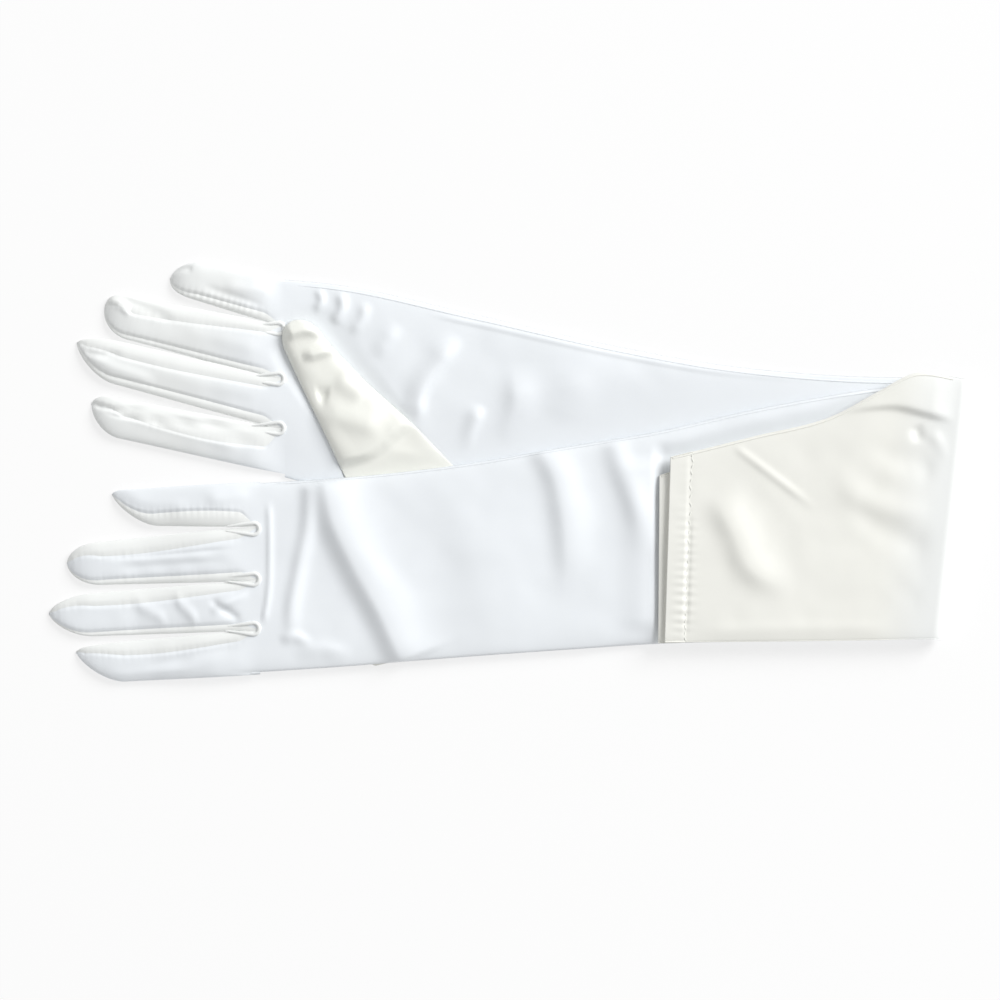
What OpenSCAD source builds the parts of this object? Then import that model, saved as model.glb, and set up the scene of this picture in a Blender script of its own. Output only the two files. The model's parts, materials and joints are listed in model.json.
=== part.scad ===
// A pair of long stretch-satin dress gloves, laid flat and folded over together at the upper arm.
// The left glove lies lowest, palm up. The right glove lies on it, back of the hand up, and its cuff
// is nested in the left glove's cuff. Fingers point to -X, and every ply is a thin flat panel.

/* [Cloth and stack] */
// Thickness of one ply of cloth
ply_t = 0.6; // [0.3:0.05:0.9]
// Height of the flat hollow between the two plies of a glove
hollow_h = 0.8; // [0.6:0.05:1.2]
// Clearance between two gloves or pieces that lie on each other
layer_gap = 0.5; // [0.3:0.05:1]
// Clearance inside the fold, between the right glove's sleeve and its own cuff
fold_gap = 1; // [0.6:0.1:2]
// Clearance between pieces that meet edge to edge at a joint
joint_gap = 0.4; // [0.3:0.05:0.8]

/* [Sleeves] */
// Length of the right glove from its knuckles to the fold
sleeve_l = 270; // [210:1:330]
// Length that the left glove loses round the outside of the fold
fold_wrap_l = 6; // [2:0.5:12]
// Flat width of a sleeve halfway up the forearm
forearm_w = 80; // [66:1:96]
// Distance of that width from the fold
forearm_s = 163; // [130:1:195]
// Flat width of a sleeve at the fold
fold_w = 103; // [85:1:124]
// Lean of the fold line from the Y axis
fold_lean = 6.3; // [0:0.1:12]
// Slope of the right glove below the X axis
right_slope = 5.8; // [3:0.1:9]
// Slope of the left glove above the X axis
left_slope = 11.2; // [8:0.1:15]

/* [Cuffs] */
// Length of a cuff from the fold to the hem
cuff_l = 110; // [85:1:135]
// Flat width of a cuff at its hem
hem_w = 72.5; // [60:0.5:88]
// Slope of the folded cuffs below the X axis
cuff_slope = 8.3; // [4:0.1:12]
// Lean of the hem edge from the Y axis
hem_lean = 1.8; // [0:0.1:5]
// Depth of the turned-up hem
hem_depth = 8; // [5:0.5:12]
// Distance that the nested cuff's hem shows beyond the outer one
nest_out = 2.5; // [1:0.5:5]
// Distance that the nested cuff's upper edge lies inside the outer one
nest_in = 7; // [3:0.5:10]
// Pitch of the hem stitches
stitch_pitch = 3.4; // [2.5:0.1:5]
// Length of one hem stitch
stitch_l = 2.2; // [1.5:0.1:2.4]

/* [Hands] */
// Flat widths of the index, middle, ring and little fingers at their bases
finger_w = [17, 19, 20.5, 17]; // [14:0.5:25]
// Radii of the same fingertips
tip_r = [7, 7.5, 7.5, 6.5]; // [5:0.5:9]
// Lengths of the right fingers as they lie
right_finger_l = [72, 83, 76, 58]; // [38:1:100]
// Lengths of the left fingers as they lie
left_finger_l = [78, 85, 73, 46]; // [38:1:102]
// Gap between neighbouring fingers at their bases
finger_gap = 0.5; // [0.3:0.1:1]
// Base width of a thumb where it is sewn to the palm
thumb_base_w = 41; // [34:1:49]
// Length of a thumb from its base to its tip
thumb_l = 66; // [55:1:79]
// Radius of a thumb's tip
thumb_tip_r = 8.8; // [7:0.1:10.5]
// Distance from the knuckles to the thumb's base
thumb_s = 32; // [26:1:38]

/* [Trim] */
// Width of a finger's side strip, folded flat
strip_w = 5; // [3:0.5:5.5]
// Width of a seam allowance inside the glove
seam_w = 2; // [1:0.2:3]

/* [Hidden] */
FINGERS = ["index", "middle", "ring", "little"];
PIECES = [
    "back", "palm", "side_seam", "thumb_back", "thumb_palm",
    for (f = FINGERS) str(f, "_back"),
    for (f = FINGERS) str(f, "_palm"),
    "index_strip", "middle_strip_low", "middle_strip_high",
    "ring_strip_low", "ring_strip_high", "little_strip",
    "cuff_back", "cuff_palm", "cuff_seam", "hem_back", "hem_palm", "hem_stitches"
];

right_finger_dir = [184, 183.4, 183.6, 181.4];
left_finger_dir = [168.6, 166, 167.4, 165.4];
right_thumb_dir = 119;
left_thumb_dir = 126;
seam_play = 0.1;
edge_inset = 0.8;
stitch_w = 0.7;
stitch_h = 0.15;
tip_step = 15;
satin = "white";
cream = "ivory";
thread = "gainsboro";

glove_h = 2 * ply_t + hollow_h;
left_z = 0;
right_z = glove_h + layer_gap;
right_cuff_z = right_z + glove_h + fold_gap;
left_cuff_z = right_cuff_z + glove_h + layer_gap;
right_thumb_z = 0;
left_thumb_z = right_z;
hinge_z = right_z + glove_h + fold_gap / 2;

// Unit vector at an angle, a point on the ray to it, and a point between two others
function ray(a) = [cos(a), sin(a)];
function between(p, q, t) = p + (q - p) * t;
function toward(p, q) = (q - p) / norm(q - p);

// The fold, with its centre at the origin of this plan
fold_dir = ray(90 - fold_lean);
fold_top = fold_dir * fold_w / 2;
fold_low = -fold_top;

// A glove's plan: its knuckle centre, forearm and the corners of its panel
function axis_dir(side) = side == "left_" ? 180 - left_slope : 180 + right_slope;
function knuckles(side) = ray(axis_dir(side)) * (side == "left_" ? sleeve_l - fold_wrap_l : sleeve_l);
hand_w = finger_w[0] + finger_w[1] + finger_w[2] + finger_w[3] + 3 * finger_gap;
function hand_high(side) = knuckles(side) + [0, hand_w / 2];
function hand_low(side) = knuckles(side) - [0, hand_w / 2];
function forearm(side, v) = ray(axis_dir(side)) * forearm_s + ray(axis_dir(side) - 90) * v;
function panel_points(side) = [
    hand_low(side), forearm(side, -forearm_w / 2), fold_low,
    fold_top, forearm(side, forearm_w / 2), hand_high(side)
];

// Finger i from its base on the knuckle line: 0 is the index finger, at the low end
function base_y(i) = i == 0 ? -hand_w / 2 : base_y(i - 1) + finger_w[i - 1] + finger_gap;
function finger_base(side, i) = knuckles(side) + [-joint_gap, base_y(i) + finger_w[i] / 2];
function finger_dir(side, i) = side == "left_" ? left_finger_dir[i] : right_finger_dir[i];
function finger_l(side, i) = side == "left_" ? left_finger_l[i] : right_finger_l[i];
function tip_centre(side, i) = finger_base(side, i) + ray(finger_dir(side, i)) * (finger_l(side, i) - tip_r[i]);
function tip_arc(c, r, dir) = [for (a = [-90:tip_step:90]) c + ray(dir + a) * r];
function finger_points(side, i) = concat(
    [finger_base(side, i) + [0, finger_w[i] / 2]],
    tip_arc(tip_centre(side, i), tip_r[i], finger_dir(side, i)),
    [finger_base(side, i) - [0, finger_w[i] / 2]]
);

// A thumb's base runs along an edge of the right glove: the left thumb above its top edge, where the
// palm goes under it, and the right thumb just inside its low edge
right_top = toward(hand_high("right_"), forearm("right_", forearm_w / 2));
right_bottom = toward(hand_low("right_"), forearm("right_", -forearm_w / 2));
thumb_lift = layer_gap + 1;
function thumb_edge(side) = side == "left_" ? right_top : right_bottom;
function thumb_corner(side) = side == "left_"
    ? hand_high("right_") + right_top * thumb_s + [0, thumb_lift]
    : hand_low("right_") + right_bottom * thumb_s + [0, thumb_lift + seam_w];
function thumb_base(side) = thumb_corner(side) + thumb_edge(side) * thumb_base_w / 2;
function thumb_dir(side) = side == "left_" ? left_thumb_dir : right_thumb_dir;
function thumb_tip(side) = thumb_base(side) + ray(thumb_dir(side)) * (thumb_l - thumb_tip_r);
function thumb_points(side) = concat(
    [thumb_corner(side) + thumb_edge(side) * thumb_base_w],
    tip_arc(thumb_tip(side), thumb_tip_r, thumb_dir(side)),
    [thumb_corner(side)]
);

// A folded cuff: the nested one is narrower and stands out a little past the outer hem
function hem_out(side) = side == "left_" ? 0 : nest_out;
function hem_drop(side) = side == "left_" ? 0 : nest_in;
hem_dir = ray(90 + hem_lean);
function hem_centre(side) = ray(180 + cuff_slope) * (cuff_l + hem_out(side));
function hem_low(side) = hem_centre(side) - hem_dir * hem_w / 2;
function hem_high(side) = hem_centre(side) + hem_dir * (hem_w / 2 - hem_drop(side));
shoulder_in = 17.7;
shoulder_up = 2.3;
function shoulder(side) = fold_top + [-shoulder_in, shoulder_up - hem_drop(side)];
function fold_end(side) = fold_top - fold_dir * hem_drop(side) / 2;
function cuff_points(side) = [hem_low(side), fold_low, fold_end(side), shoulder(side), hem_high(side)];

// The plan is centred on its own box
plan = concat(
    panel_points("left_"), panel_points("right_"),
    cuff_points("left_"), cuff_points("right_"),
    [for (side = ["left_", "right_"]) for (i = [0:3]) each finger_points(side, i)]
);
plan_x = [for (p = plan) p[0]];
plan_y = [for (p = plan) p[1]];
middle = [(min(plan_x) + max(plan_x)) / 2, (min(plan_y) + max(plan_y)) / 2];

function body_z(side) = side == "left_" ? left_z : right_z;
function cuff_z(side) = side == "left_" ? left_cuff_z : right_cuff_z;
function thumb_z(side) = side == "left_" ? left_thumb_z : right_thumb_z;
// The left glove lies palm up and the right one back up, and folding the cuffs turns both over
function low_ply(side, piece) = side == "left_" ? piece == "back" : piece == "palm";
function ply_z(side, piece) = low_ply(side, piece) ? 0 : ply_t + hollow_h;
function cuff_ply_z(side, piece) = low_ply(side, piece) ? ply_t + hollow_h : 0;

module slab(points, z, h) {
    translate([-middle[0], -middle[1], z])
        linear_extrude(height = h)
            polygon(points);
}

// Half a joint gap off the end that meets the fold line
module clear_of_fold() {
    difference() {
        children();
        translate([-middle[0], -middle[1], -layer_gap])
            rotate(90 - fold_lean)
                translate([-sleeve_l, -joint_gap / 2, 0])
                    cube([2 * sleeve_l, joint_gap, left_cuff_z + 2 * glove_h]);
    }
}

module panel(side, piece) {
    color(satin)
        clear_of_fold()
            slab(panel_points(side), body_z(side) + ply_z(side, piece), ply_t);
}

module finger(side, i, piece) {
    color(satin)
        slab(finger_points(side, i), body_z(side) + ply_z(side, piece), ply_t);
}

// A side strip lies folded in the finger's hollow along its high (s = 1) or low (s = -1) edge
module strip(side, i, s) {
    base = finger_base(side, i) - [joint_gap, 0];
    tip = tip_centre(side, i);
    across = ray(finger_dir(side, i) - 90 * s);
    outer = finger_w[i] / 2 - edge_inset;
    points = [
        base + [0, s * outer],
        tip + across * (tip_r[i] - edge_inset),
        tip + across * (tip_r[i] - edge_inset - strip_w),
        base + [0, s * (outer - strip_w)]
    ];
    color(cream)
        slab(points, body_z(side) + ply_t + seam_play, hollow_h - 2 * seam_play);
}

module thumb(side, piece) {
    color(cream)
        slab(thumb_points(side), thumb_z(side) + ply_z(side, piece), ply_t);
}

// The long seam follows the little finger's side of the sleeve, inside the two plies
module side_seam(side) {
    a = hand_high(side) - [0, edge_inset];
    b = forearm(side, forearm_w / 2 - edge_inset);
    c = fold_top - fold_dir * edge_inset;
    down = [0, -seam_w];
    color(cream)
        clear_of_fold()
            slab([a, b, c, c - fold_dir * seam_w, b + down, a + down],
                body_z(side) + ply_t + seam_play, hollow_h - 2 * seam_play);
}

module cuff(side, piece) {
    color(cream)
        clear_of_fold()
            slab(cuff_points(side), cuff_z(side) + cuff_ply_z(side, piece), ply_t);
}

module cuff_seam(side) {
    a = between(hem_high(side), shoulder(side), (hem_depth + edge_inset) / cuff_l) - [0, edge_inset];
    b = shoulder(side) - [0, edge_inset];
    c = fold_end(side) - fold_dir * edge_inset;
    down = [0, -seam_w];
    color(cream)
        clear_of_fold()
            slab([a, b, c, c - fold_dir * seam_w, b + down, a + down],
                cuff_z(side) + ply_t + seam_play, hollow_h - 2 * seam_play);
}

// The hem is each ply's edge turned up against its own inner face
module hem(side, piece) {
    band_t = (hollow_h - 3 * seam_play) / 2;
    inner_z = ply_t + seam_play + (low_ply(side, piece) ? band_t + seam_play : 0);
    up = toward(hem_high(side), shoulder(side)) * hem_depth;
    low = toward(hem_low(side), fold_low) * hem_depth;
    h0 = hem_low(side) + hem_dir * edge_inset;
    h1 = hem_high(side) - hem_dir * edge_inset;
    color(cream)
        slab([h0, h0 + low, h1 + up, h1], cuff_z(side) + inner_z, band_t);
}

// A row of straight stitches on both faces of the cuff, one hem depth from the edge
module hem_stitches(side) {
    row_l = norm(hem_high(side) - hem_low(side)) - 2 * edge_inset - stitch_pitch;
    count = floor(row_l / stitch_pitch);
    start = hem_low(side) + [hem_depth, edge_inset + stitch_pitch / 2];
    color(thread)
        for (k = [0:count - 1]) {
            p = start + hem_dir * k * stitch_pitch - middle;
            for (z = [-stitch_h, glove_h])
                translate([p[0], p[1], cuff_z(side) + z])
                    rotate(90 + hem_lean)
                        translate([0, -stitch_w / 2, 0])
                            cube([stitch_l, stitch_w, stitch_h]);
        }
}

module piece(side, name) {
    if (name == "back" || name == "palm") panel(side, name);
    if (name == "side_seam") side_seam(side);
    if (name == "thumb_back") thumb(side, "back");
    if (name == "thumb_palm") thumb(side, "palm");
    for (i = [0:3]) {
        if (name == str(FINGERS[i], "_back")) finger(side, i, "back");
        if (name == str(FINGERS[i], "_palm")) finger(side, i, "palm");
    }
    if (name == "index_strip") strip(side, 0, 1);
    if (name == "middle_strip_low") strip(side, 1, -1);
    if (name == "middle_strip_high") strip(side, 1, 1);
    if (name == "ring_strip_low") strip(side, 2, -1);
    if (name == "ring_strip_high") strip(side, 2, 1);
    if (name == "little_strip") strip(side, 3, -1);
    if (name == "cuff_back") cuff(side, "back");
    if (name == "cuff_palm") cuff(side, "palm");
    if (name == "cuff_seam") cuff_seam(side);
    if (name == "hem_back") hem(side, "back");
    if (name == "hem_palm") hem(side, "palm");
    if (name == "hem_stitches") hem_stitches(side);
}

for (side = ["left_", "right_"])
    for (name = PIECES)
        piece(side, name);
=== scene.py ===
import json

import bmesh
import bpy
import numpy as np
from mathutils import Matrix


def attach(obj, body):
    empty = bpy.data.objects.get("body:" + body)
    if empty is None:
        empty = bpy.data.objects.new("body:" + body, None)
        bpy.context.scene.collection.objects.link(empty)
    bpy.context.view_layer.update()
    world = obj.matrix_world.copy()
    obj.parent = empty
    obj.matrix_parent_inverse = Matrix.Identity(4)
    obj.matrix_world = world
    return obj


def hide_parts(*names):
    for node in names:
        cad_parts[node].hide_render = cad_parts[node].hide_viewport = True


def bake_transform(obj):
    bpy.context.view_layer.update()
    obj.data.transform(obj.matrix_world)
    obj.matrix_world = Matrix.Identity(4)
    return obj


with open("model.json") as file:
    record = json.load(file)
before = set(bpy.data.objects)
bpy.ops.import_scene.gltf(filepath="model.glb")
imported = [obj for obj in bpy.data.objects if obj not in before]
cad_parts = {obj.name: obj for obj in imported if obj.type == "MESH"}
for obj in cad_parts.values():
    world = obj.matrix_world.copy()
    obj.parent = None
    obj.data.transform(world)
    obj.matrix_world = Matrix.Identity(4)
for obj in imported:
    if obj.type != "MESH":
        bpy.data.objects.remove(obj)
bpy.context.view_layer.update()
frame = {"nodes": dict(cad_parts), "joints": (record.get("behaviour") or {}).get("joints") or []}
mm = 0.001
joints = {j["name"]: j for j in frame["joints"]}
print("frame loaded:", len(frame["nodes"]), "CAD nodes")

# Plans are in millimetres from the middle of the fold line; z is height above the table.
foldMid = np.array(joints["left_cuff_fold"]["pos_m"]) / mm
foldDir = np.array(joints["left_cuff_fold"]["axis"])[:2]
foldOut = np.array([foldDir[1], -foldDir[0]])
hingeZ = foldMid[2]
layers = {
    "leftFloor": 0.25, "rightFloor": 2.55,  # lowest height of each glove
    "plyGap": 1.9,  # from a glove's lower ply to its upper one
    "cloth": 0.3, "puff": 1.5, "sink": 2.2,  # cloth thickness, air in a sleeve, drop beside the left glove
    "square": 8,  # power of a flattened tube's section
}


def planPoint(place):
    return np.array(place, float)[:2] / mm - foldMid[:2]


def inFrame(points):
    out = np.array(points, float)
    out[..., :2] += foldMid[:2]
    return out * mm


def smooth(t):
    # soft step, 3t2 - 2t3, held at 0 and 1
    t = np.clip(t, 0, 1)
    return t * t * (3 - 2 * t)


def along(points, t):
    # cubic Hermite curve through given points, with central-difference tangents by chord length
    p = np.array(points, float)
    d = np.r_[0, np.cumsum(np.linalg.norm(np.diff(p, axis=0), axis=1))]
    d /= d[-1]
    m = np.gradient(p, d, axis=0)
    t = np.asarray(t, float)
    k = np.clip(np.searchsorted(d, t, side="right") - 1, 0, len(p) - 2)
    h = (d[k + 1] - d[k])[..., None]
    u = ((t - d[k]) / (d[k + 1] - d[k]))[..., None]
    return ((2 * u**3 - 3 * u**2 + 1) * p[k] + (u**3 - 2 * u**2 + u) * h * m[k]
            + (3 * u**2 - 2 * u**3) * p[k + 1] + (u**3 - u**2) * h * m[k + 1])


def edgeHeight(points, x):
    # y of a given edge at x
    line = along(points, np.linspace(0, 1, 90))
    return np.interp(x, line[:, 0], line[:, 1])


def rumple(x, y, size, seed):
    # random heights from -1 to 1 on a square lattice, joined by soft steps
    lattice = np.random.default_rng(seed).uniform(-1, 1, (64, 64))
    gx, gy = x / size + 200, y / size + 200
    ix, iy = np.floor(gx).astype(int), np.floor(gy).astype(int)
    fx, fy = smooth(gx - ix), smooth(gy - iy)
    a = lattice[ix % 64, iy % 64] * (1 - fx) + lattice[(ix + 1) % 64, iy % 64] * fx
    b = lattice[ix % 64, (iy + 1) % 64] * (1 - fx) + lattice[(ix + 1) % 64, (iy + 1) % 64] * fx
    return a * (1 - fy) + b * fy


def fromCurve(x, y, path, steps=26):
    # signed distance to a curve, positive on its left, and the share of the way along it
    pts = along(path, np.linspace(0, 1, steps + 1))
    best = np.full(x.shape, 1e9)
    signed, where = np.zeros(x.shape), np.zeros(x.shape)
    for i in range(steps):
        a, d = pts[i], pts[i + 1] - pts[i]
        t = np.clip(((x - a[0]) * d[0] + (y - a[1]) * d[1]) / (d @ d), 0, 1)
        dx, dy = x - a[0] - t * d[0], y - a[1] - t * d[1]
        gap = np.hypot(dx, dy)
        near = gap < best
        best = np.where(near, gap, best)
        signed = np.where(near, gap * np.sign(d[0] * dy - d[1] * dx + 1e-12), signed)
        where = np.where(near, (i + t) / steps, where)
    return signed, where


def creaseHeight(x, y, creases):
    # sum of ridges: rise * exp(-(distance / width)^2), a width for each side, fading at both ends
    total = np.zeros(x.shape)
    for path, rise, leftWidth, rightWidth, fadeIn, fadeOut, step in creases:
        d, u = fromCurve(x, y, path)
        fade = smooth(u / fadeIn) * smooth((1 - u) / fadeOut)
        total += rise * np.exp(-((d / np.where(d > 0, leftWidth, rightWidth)) ** 2)) * fade
        total += step * (1 + np.tanh(d / 0.9)) / 2 * fade * np.exp(-((d / 30) ** 2))
    return total


def acrossRow(q, power):
    # height share of a flattened tube's section, sqrt(1 - |q|^power), with q from -1 to 1
    return np.sqrt(np.clip(1 - np.abs(q) ** power, 0, 1))


def edgeSpaced(count, mix=0.6):
    # q from 1 to -1, closer together near both edges
    t = np.linspace(0, 1, count)
    return (1 - 2 * t) * mix + np.cos(np.pi * t) * (1 - mix)


def clothMesh(name, grid, warmth=0.0, wrap=False, pole=False, thickness=None):
    # a surface from a rows x columns grid of plan points; wrap joins the last column to the first
    rows, cols = grid.shape[:2]
    index = np.arange(rows * cols).reshape(rows, cols)
    here, nxt = (index, np.roll(index, -1, axis=1)) if wrap else (index[:, :-1], index[:, 1:])
    quads = np.stack([here[:-1], nxt[:-1], nxt[1:], here[1:]], -1).reshape(-1, 4)
    closed = np.concatenate([grid, grid[:, :1]], axis=1) if wrap else grid
    du = np.r_[0, np.cumsum(np.linalg.norm(np.diff(closed[rows // 2], axis=0), axis=1))]
    dv = np.r_[0, np.cumsum(np.linalg.norm(np.diff(grid[:, cols // 4], axis=0), axis=1))]
    corner = np.zeros((rows - 1, len(du) - 1, 4, 2))
    corner[..., 0, 0] = corner[..., 3, 0] = du[:-1]
    corner[..., 1, 0] = corner[..., 2, 0] = du[1:]
    corner[..., 0, 1] = corner[..., 1, 1] = dv[:-1, None]
    corner[..., 2, 1] = corner[..., 3, 1] = dv[1:, None]
    mesh = bpy.data.meshes.new(name)
    mesh.from_pydata(inFrame(grid.reshape(-1, 3)).tolist(), [], quads.tolist())
    mesh.uv_layers.new(name="Cloth").data.foreach_set("uv", (corner * mm).astype(np.float32).ravel())
    tone = mesh.attributes.new("warmth", "FLOAT", "POINT")
    tone.data.foreach_set("value", np.broadcast_to(warmth, (rows, cols)).astype(np.float32).ravel())
    if pole:
        bm = bmesh.new()
        bm.from_mesh(mesh)
        bmesh.ops.remove_doubles(bm, verts=bm.verts, dist=2e-6)
        bm.to_mesh(mesh)
        bm.free()
    mesh.polygons.foreach_set("use_smooth", np.ones(len(mesh.polygons), bool))
    used = np.zeros(len(mesh.loops), np.int32)
    mesh.loops.foreach_get("edge_index", used)
    cutEdge = np.bincount(used, minlength=len(mesh.edges)) == 1  # cut edges stay crisp
    mesh.attributes.new("sharp_edge", "BOOLEAN", "EDGE").data.foreach_set("value", cutEdge)
    piece = bpy.data.objects.new(name, mesh)
    bpy.context.collection.objects.link(piece)
    if thickness:
        wall = piece.modifiers.new("Cloth", "SOLIDIFY")
        wall.thickness, wall.offset, wall.use_rim = thickness * mm, -1, True
    return piece


# sleeve edges run from the knuckles to the fold, cuff edges from the fold to the mouth
gloves = {
    "right": {
        "low": [(-268.3, -64.1), (-240, -62.2), (-200, -59), (-150, -55.4), (-112, -53),
                (-60, -51.8), (-5.7, -51.2)],
        "high": [(-268.3, 10), (-238, 12), (-183, 18.3), (-150, 24), (-112, 30.4), (-79, 38),
                 (-40, 45.2), (5.7, 51.2)],
        "cuffLow": [(-5.7, -51.2), (-60, -51.9), (-112.8, -52.6)],
        "cuffHigh": [(5.3, 47.7), (-12, 46.4), (-45, 33.5), (-78, 24), (-112.3, 13.0)],
        # path, rise, width on its left, width on its right, fade in, fade out, step
        "creases": [
            ([(-244, 13), (-240, -5), (-232, -22), (-222, -40), (-212, -62)], 3.4, 12, 5.2, .05, .04, 0),
            ([(-250, 11), (-250.5, -6), (-254, -24), (-257, -42), (-256, -56)], 1.3, 3.2, 2.6, .06, .3, 0),
            ([(-265.8, 4), (-265.4, -17), (-266.0, -34), (-268, -46)], .7, 1.3, .8, .15, .1, 0),
            ([(-159.5, 25), (-153, 12), (-149.8, -4), (-148.6, -22), (-150, -40)], 2.2, 9, 5.0, .05, .5, 0),
            ([(-131, 28), (-127, 14), (-122, 0), (-119, -20)], 1.5, 5, 4.4, .08, .5, 0),
            ([(-121, 22), (-119, 0), (-119, -50)], 1.0, 7, 7, .1, .1, 0),
            ([(-196, 17), (-192, 0), (-184, -22), (-178, -54)], .9, 13, 10, .3, .3, 0),
            ([(-257, -58), (-246, -55), (-232, -58)], .9, 3, 4, .4, .4, 0),
            ([(-262, -52), (-256, -50), (-248, -54)], .8, 2, 2.4, .3, .4, 0),
        ],
        "cuffCreases": [],
    },
    "left": {
        "low": [(-259.5, 12.3), (-238, 6.5), (-183, -6.5), (-116, -22.3), (-60, -36), (-18, -46.8),
                (-5.7, -51.2)],
        "high": [(-259.5, 89.8), (-242, 88.2), (-185, 76.2), (-128, 63.4), (-94, 57.2), (-43, 52.2),
                 (5.7, 51.2)],
        "cuffLow": [(-5.7, -51.2), (-60, -52), (-110.3, -52.3)],
        "cuffHigh": [(5.7, 51.2), (-12, 53.2), (-27, 45.8), (-44.5, 36.4), (-76, 28.2), (-108, 20.2)],
        "creases": [
            ([(-190, 68), (-198, 58), (-206, 46), (-208, 33)], 2.0, 2.6, 5.0, .3, .2, 0),
            ([(-182, 41), (-186, 31), (-188.5, 17)], 1.8, 2.2, 3.4, .25, .08, 0),
            ([(-170, 58), (-168.5, 42), (-171, 30), (-168, 12)], 1.6, 8.0, 4.5, .3, .1, 0),
            ([(-214, 73), (-220, 65), (-225, 58)], .9, 3.2, 3.4, .4, .4, 0),
            ([(-150, 58), (-147, 44), (-150, 30)], .8, 8, 8, .4, .3, 0),
            ([(-238, 86), (-237, 79), (-241, 72)], 1.3, 2.2, 1.8, .3, .2, 0),
            ([(-247, 87), (-245, 82), (-248, 76)], 1.1, 1.6, 1.6, .3, .3, 0),
            ([(-228, 82), (-229, 75), (-234, 68)], .9, 2.4, 2.0, .3, .3, 0),
            ([(-205, 76.6), (-185, 72.4), (-128, 60), (-94, 54), (-43, 49.2)], .5, 1.6, .8, .1, .1, 0),
        ],
        "cuffCreases": [
            ([(-92, 8), (-84, -8), (-76, -24), (-58, -31)], 2.1, 9, 5.5, .25, .35, 0),
            ([(-84, 25), (-67, 12), (-50, -1)], .6, 1.6, 1.6, .12, .4, 0),
            ([(-50, 33), (-42, 36.8), (-30, 39.2), (-20, 39.6), (-8, 36.8), (9, 32.6)],
             .3, 4, 1.2, .4, .05, 1.7),
            ([(-13, 33), (-11.4, 29), (-11, 25)], -1.0, 2.4, 2.4, .3, .4, 0),
            ([(-36, 26), (-22, 21), (-2, 13)], -.7, 5, 5, .4, .2, 0),
            ([(-30, 10), (-20, 14), (-8, 18)], .5, 5, 5, .4, .3, 0),
            ([(-7, 31), (-2, 25), (2, 18)], .8, 2.6, 2.6, .3, .3, 0),
            ([(-37, 4), (-28, -6), (-12, -15), (-4, -20)], -.8, 6, 6, .3, .3, 0),
            ([(-46, 14), (-34, 4), (-18, -1), (-4, 2)], .9, 6, 5, .3, .3, 0),
            ([(-100, -48.5), (-60, -47.2), (-20, -47)], .5, 3, 3, .2, .2, 0),
        ],
    },
}
thumbLine = np.array([(-216.5, 18.4), (-250.2, 64.7)])
fingers = ("index", "middle", "ring", "little")
for side, g in gloves.items():
    g["knuckleX"] = planPoint(joints[f"{side}_index_lift"]["pos_m"])[0]
    for edge in ("low", "high"):
        g[edge][0] = (g["knuckleX"], g[edge][0][1])


def nearThumb(x, y):
    # distance from the left thumb's middle line
    a, d = thumbLine[0], thumbLine[1] - thumbLine[0]
    t = np.clip(((x - a[0]) * d[0] + (y - a[1]) * d[1]) / (d @ d), 0, 1)
    return np.hypot(x - a[0] - t * d[0], y - a[1] - t * d[1])


def underside(side, x, y):
    # the left glove lies on the table; the right one lies on it, and sinks past its low edge, but
    # not over the right thumb tucked below
    if side == "left":
        return np.full(np.shape(x), layers["leftFloor"])
    pivot = planPoint(joints["right_thumb_swing"]["pos_m"])
    past = smooth((edgeHeight(gloves["left"]["low"], x) - 4 - y) / 22)
    clear = smooth((np.hypot(x - pivot[0], y - pivot[1]) - 72) / 20)
    return layers["rightFloor"] - layers["sink"] * past * clear


def upperSide(side, x, y):
    # upper ply: the hollow above the underside, puffed up and creased where nothing lies on it
    g = gloves[side]
    flat = layers["leftFloor" if side == "left" else "rightFloor"] + layers["plyGap"]
    cuffEdge = edgeHeight(gloves["left"]["cuffHigh"][::-1], x)
    free = 1 - smooth((x + 116) / 5.5) * smooth((cuffEdge + 7 - y) / 7)
    if side == "left":
        free = free * smooth((y - edgeHeight(gloves["right"]["high"], x) - 1.5) / 24)
        free = free * smooth((nearThumb(x, y) - 8) / 9)
    free = free * smooth((-8 - x) / 22)
    swell = layers["puff"] * (1 + 0.28 * rumple(x, y, 38, 3) + 0.1 * rumple(x, y, 13, 4))
    rough = creaseHeight(x, y, g["creases"]) + 0.12 * rumple(x, y, 8, 7) + 0.3 * rumple(x, y, 24, 8)
    return flat + (swell + rough) * free


def rowPoints(low, high, q):
    # points across each row, q = -1 on the low edge and 1 on the high edge
    return (low[:, None] + high[:, None]) / 2 + q[..., None] * (high[:, None] - low[:, None]) / 2


sleeveLook = {"rows": 300, "top": 92, "bottom": 34, "cut": (172, 275),
              "seamColumn": {"left": 3.4, "right": 1.6}, "bead": 0.42}


def sleeveBody(side):
    # flattened tube: middle height plus and minus half the hollow times sqrt(1 - q^8)
    g = gloves[side]
    rows, top, bottom = sleeveLook["rows"], sleeveLook["top"], sleeveLook["bottom"]
    q = np.r_[edgeSpaced(top)[:-1], -edgeSpaced(bottom)[:-1]]
    t = np.linspace(0, 1, rows)
    plan = rowPoints(along(g["low"], t), along(g["high"], t), np.tile(q, (rows, 1)))
    x, y = plan[..., 0], plan[..., 1]
    under, over = underside(side, x, y), upperSide(side, x, y)
    face = np.r_[np.ones(top - 1), -np.ones(bottom - 1)]
    z = (under + over) / 2 + face * (over - under) / 2 * acrossRow(q, layers["square"])
    return np.dstack([plan, z])


cuffLook = {"bendRows": 18, "rows": 150, "columns": 110, "cut": (106, 125), "bead": 0.4}
hemLook = {"depth": 8.0, "pitch": 3.4, "pucker": 0.26, "proud": 0.3, "groove": 0.5, "turn": 0.3,
           "wall": 0.22, "threadRadius": 0.15, "stitch": 1.9, "zigzag": 0.35}


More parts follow.
